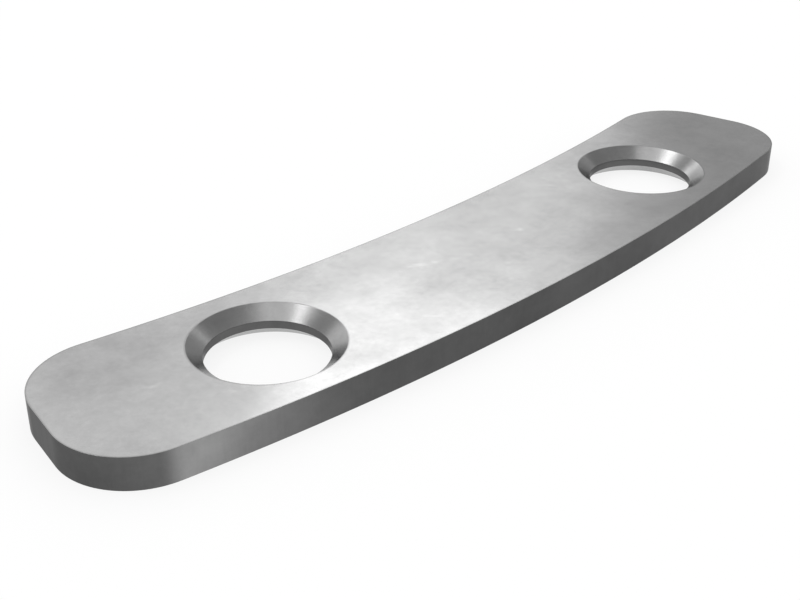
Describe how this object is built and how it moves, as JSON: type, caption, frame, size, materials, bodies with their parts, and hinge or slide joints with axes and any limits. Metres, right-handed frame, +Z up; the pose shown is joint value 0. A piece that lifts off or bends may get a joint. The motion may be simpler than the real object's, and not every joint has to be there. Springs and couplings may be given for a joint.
{
  "type": "spacer plate",
  "caption": "Flat steel spacer plate curved in plan like a ring segment, with rounded corners and bolt holes countersunk on both faces, so it fits either way up.",
  "frame": {"origin": "on the bottom face, midway between the two hole axes", "axes": "+X along the line through the two holes, +Y towards the concave edge, +Z up through the thickness"},
  "size_m": [0.1546, 0.035, 0.005],
  "materials": {
    "plate": "bright steel with a fine satin finish"
  },
  "bodies": {
    "root": {"spacer_plate": "plate"}
  },
  "joints": []
}
